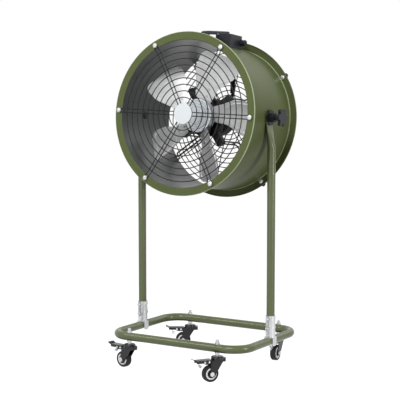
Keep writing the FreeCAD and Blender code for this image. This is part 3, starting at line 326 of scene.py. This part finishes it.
# Thin bands at the front lip and at the bend to the rear flange get the pale colour: a painted highlight.
front_lip = joined(tree, between(tree, radius, *front_lip_radii),
                   between(tree, depth, *front_lip_depths), "MULTIPLY")
rear_bend = joined(tree, between(tree, radius, *rear_bend_radii),
                   between(tree, depth, *rear_bend_depths), "MULTIPLY")
painted_highlight_bands = joined(tree, front_lip, rear_bend, "MAXIMUM")
plain_paint = shader.inputs["Base Color"].links[0].from_socket
outer_paint = mixed(tree, painted_highlight_bands, plain_paint, painted_edge_highlight)
tree.links.new(mixed(tree, inside.outputs[0], outer_paint, charcoal), shader.inputs["Base Color"])
tree.links.new(inside.outputs[0], shader.inputs["Coat Weight"])
shader.inputs["Coat Roughness"].default_value = inner_sheen_roughness
shader.inputs["Coat IOR"].default_value = inner_sheen_ior
print("paints", olive_enamel.name, casing_paint.name)

# %% [markdown]
# The metals: zinc plate on the fasteners and tee clamps, pressed aluminium for the blades, cast
# aluminium with dark turned lines for the hub, plain ground steel for the shaft and bearings, and
# dark layered steel for the motor's cores.

# %% Metals
line_colour = (0.20, 0.22, 0.23)
line_width = 0.0012
first_line, *more_lines = (0.0275, 0.0350, 0.0415, 0.0465)

zinc_plate = finish("zinc_plate", (0.50, 0.51, 0.52), (0.58, 0.59, 0.60), rough=(0.30, 0.34),
                    grain=700, bump=0.02, metallic=1.0)[0]
blade_metal = finish("blade_metal", (0.72, 0.72, 0.72), (0.80, 0.80, 0.80), rough=(0.28, 0.38),
                     grain=600, bump=0.06, metallic=0.55, stretch=(1, 6, 1))[0]
ground_steel = finish("ground_steel", (0.50, 0.50, 0.50), (0.60, 0.60, 0.60), rough=(0.18, 0.30),
                      grain=900, bump=0.10, metallic=1.0)[0]
core_steel = finish("core_steel", (0.26, 0.24, 0.22), (0.32, 0.30, 0.27), rough=(0.40, 0.55),
                    grain=1200, bump=0.30, metallic=0.9, stretch=(1, 8, 1))[0]
hub_metal, tree, shader, place = finish("hub_metal", (0.62, 0.66, 0.68), (0.70, 0.74, 0.76),
                                        rough=(0.34, 0.46), grain=800, bump=0.15, metallic=0.5)
radius = place_in_drum(tree, place)[0]
turned_lines = between(tree, radius, first_line, first_line + line_width)
for low in more_lines:
    turned_lines = joined(tree, turned_lines, between(tree, radius, low, low + line_width), "MAXIMUM")
plain_hub = shader.inputs["Base Color"].links[0].from_socket
tree.links.new(mixed(tree, turned_lines, plain_hub, line_colour), shader.inputs["Base Color"])

# %% [markdown]
# The blacks differ more in their surface than in their colour: enamel on the wire guards, rough
# casting on the motor, fine moulded grain on the plastic, and dull rubber.

# %% Blacks, the pale wheel rings and the white disc
black_enamel = finish("black_enamel", (0.010, 0.011, 0.012), (0.016, 0.017, 0.018),
                      rough=(0.32, 0.45), grain=900, bump=0.10)[0]
black_casting = finish("black_casting", (0.012, 0.012, 0.013), (0.022, 0.022, 0.023),
                       rough=(0.50, 0.68), grain=500, bump=0.45)[0]
black_moulding = finish("black_moulding", (0.013, 0.015, 0.019), (0.019, 0.021, 0.026),
                        rough=(0.36, 0.48), grain=1500, bump=0.25)[0]
caster_enamel = finish("caster_enamel", (0.006, 0.006, 0.007), (0.010, 0.010, 0.011),
                       rough=(0.20, 0.24), grain=800, bump=0.02, shine=0.4)[0]
tyre_rubber = finish("tyre_rubber", (0.010, 0.010, 0.011), (0.016, 0.016, 0.017),
                     rough=(0.60, 0.72), grain=1100, bump=0.10, shine=0.3)[0]
lead_rubber = finish("lead_rubber", (0.010, 0.010, 0.010), (0.018, 0.018, 0.018),
                     rough=(0.50, 0.66), grain=1000, bump=0.25)[0]
wheel_moulding = finish("wheel_moulding", (0.018, 0.018, 0.020), (0.026, 0.026, 0.028),
                        rough=(0.34, 0.46), grain=1300, bump=0.20)[0]
pale_moulding = finish("pale_moulding", (0.90, 0.90, 0.89), (0.94, 0.94, 0.93),
                       rough=(0.30, 0.36), grain=1300, bump=0.04)[0]
white_disc_paint = finish("white_disc_paint", (0.75, 0.80, 0.81), (0.79, 0.84, 0.85),
                          rough=(0.26, 0.36), grain=1000, bump=0.06)[0]

# %% Give each node its finish
finish_of_slot = {
    "olive_paint": olive_enamel,
    "zinc": zinc_plate,
    "axle_zinc": zinc_plate,
    "black_steel": black_enamel,
    "black_casting": black_casting,
    "black_plastic": black_moulding,
    "white_plastic": white_disc_paint,
    "aluminium_blade": blade_metal,
    "hub_casting": hub_metal,
    "bearing_steel": ground_steel,
    "core_steel": core_steel,
    "lead_jacket": lead_rubber,
    "caster_black": caster_enamel,
    "tyre_black": tyre_rubber,
    "wheel_grey": wheel_moulding,
}
for part in frame["record"]["subparts"]:
    material = finish_of_slot[part["material_slot"]]
    if part["node"] == "drum_casing":
        material = casing_paint
    mesh = nodes[part["node"]].data
    mesh.materials.clear()
    mesh.materials.append(material)

# %% [markdown]
# Small turned pieces, such as the pale ring in each wheel, are a profile spun round an axis.
# A helper spins it with its own vertices, so the ring has a real rounded section at any distance.
# A second helper draws a round wire along points, for the springs.

# %% Turned and drawn pieces
corners = ("front_left", "front_right", "rear_left", "rear_right")


def add_piece(name, mesh, material, body):
    """A mesh made in the part's frame, finished and carried by a body."""
    piece = bpy.data.objects.new(name, mesh)
    bpy.context.scene.collection.objects.link(piece)
    mesh.materials.append(material)
    for face in mesh.polygons:
        face.use_smooth = True
    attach(piece, body)


def spun_ring(name, profile, centre, axis, steps=64):
    """A closed profile of (radius, along) points spun round an axis through the centre."""
    turn = Vector(axis).to_track_quat("Z", "Y").to_matrix()
    points = []
    for step in range(steps):
        angle = 2 * math.pi * step / steps
        for radius, along in profile:
            local = Vector((radius * math.cos(angle), radius * math.sin(angle), along))
            points.append(Vector(centre) + turn @ local)
    count = len(profile)
    faces = []
    for step in range(steps):
        row, next_row = step * count, (step + 1) % steps * count
        for k in range(count):
            later = (k + 1) % count
            faces.append((row + k, next_row + k, next_row + later, row + later))
    mesh = bpy.data.meshes.new(name)
    mesh.from_pydata(points, [], faces)
    mesh.update()
    return mesh


def drawn_wire(name, points, radius, sides=10):
    """A round wire along points, with closed ends."""
    verts = []
    side = None
    for k, point in enumerate(points):
        ahead = (points[min(k + 1, len(points) - 1)] - points[max(k - 1, 0)]).normalized()
        if side is None:
            side = ahead.orthogonal().normalized()
        side = (side - ahead * side.dot(ahead)).normalized()
        third = ahead.cross(side)
        for n in range(sides):
            angle = 2 * math.pi * n / sides
            verts.append(point + (side * math.cos(angle) + third * math.sin(angle)) * radius)
    last_row = (len(points) - 1) * sides
    faces = []
    for row in range(0, last_row, sides):
        next_row = row + sides
        for n in range(sides):
            m = (n + 1) % sides
            faces.append((row + n, row + m, next_row + m, next_row + n))
    faces.append(tuple(reversed(range(sides))))
    faces.append(tuple(range(last_row, last_row + sides)))
    mesh = bpy.data.meshes.new(name)
    mesh.from_pydata(verts, [], faces)
    mesh.update()
    return mesh


# %% Pale rings in the wheels
ring_inner, ring_outer = 0.0127, 0.0178
ring_sink = 0.0010
wheel_half = 0.009
rounding = 0.0004
for corner in corners:
    roll = joints[corner + "_wheel_roll"]
    for side in (-1, 1):
        face = side * wheel_half
        round_start = face - side * rounding
        floor_level = face - side * ring_sink
        profile = [(ring_inner, floor_level), (ring_inner, round_start), (ring_inner + rounding, face),
                   (ring_outer - rounding, face), (ring_outer, round_start), (ring_outer, floor_level)]
        name = corner + "_wheel_ring_" + ("near" if side < 0 else "far")
        mesh = spun_ring(name, profile if side > 0 else profile[::-1], roll["pos_m"], roll["axis"])
        add_piece(name, mesh, pale_moulding, corner + "_wheel")
print("wheel rings", 2 * len(corners))

# %% [markdown]
# Two zinc pins pass through each brake pedal. Each is a short shank with a domed head at both ends,
# spun from a profile that starts and ends almost on the axis.

# %% Pedal pins
pin_radius = 0.0024
pin_head_radius = 0.0036
pin_head_dome = 0.0010
pin_head_gap = 0.0001
pin_tip_radius = 0.00005
dome_shoulder_radius, dome_shoulder_rise = 0.8 * pin_head_radius, 0.7 * pin_head_dome
pin_steps = 24
pin_reaches = (0.014, 0.028)
pin_rise = 0.0010
pedal_half = 0.0100


def pedal_frame(corner):
    """A brake pedal's pivot, the direction across the pedal and the level direction along it."""
    press = joints[corner + "_brake_press"]
    across = Vector(press["axis"]).normalized()
    return Vector(press["pos_m"]), across, across.cross(up).normalized()


seat = pedal_half + pin_head_gap
half_profile = [(pin_radius, 0.0), (pin_radius, seat), (pin_head_radius, seat),
                (dome_shoulder_radius, seat + dome_shoulder_rise),
                (pin_tip_radius, seat + pin_head_dome)]
pin_profile = [(r, -a) for r, a in half_profile[::-1]] + half_profile[1:]
for corner in corners:
    press_pivot, across, trail = pedal_frame(corner)
    for k, reach in enumerate(pin_reaches, 1):
        name = corner + "_pedal_pin_" + str(k)
        centre = press_pivot + trail * reach + up * pin_rise
        mesh = spun_ring(name, pin_profile, centre, across, pin_steps)
        add_piece(name, mesh, zinc_plate, corner + "_brake")
print("pedal pins", len(corners) * len(pin_reaches))

# %% [markdown]
# Each brake pedal has a small wound spring hanging under it by one leg, with the other leg bent out.
# The winding is a helix worked out by a loop and drawn as one round wire.

# %% Brake springs
spring_radius = 0.0034
spring_wire = 0.0006
spring_turns = 6
spring_pitch = 0.0016
spring_reach = 0.040
spring_drop = 0.0115
steps_per_turn = 16
leg_height = 0.0172
free_leg_out, free_leg_down = 0.006, 0.008
winding = spring_pitch * spring_turns
steps = spring_turns * steps_per_turn
for corner in corners:
    press_pivot, across, trail = pedal_frame(corner)
    centre = press_pivot + trail * spring_reach - up * spring_drop
    start = centre + trail * spring_radius - across * winding / 2
    points = [start + up * leg_height, start + up * leg_height / 2]
    for step in range(steps + 1):
        share = step / steps
        angle = 2 * math.pi * spring_turns * share
        outward = trail * math.cos(angle) + up * math.sin(angle)
        points.append(centre + across * winding * (share - 0.5) + outward * spring_radius)
    points.append(points[-1] + trail * free_leg_out - up * free_leg_down)
    name = corner + "_brake_spring"
    mesh = drawn_wire(name, points, spring_wire)
    add_piece(name, mesh, zinc_plate, corner + "_brake")
print("brake springs", len(corners))
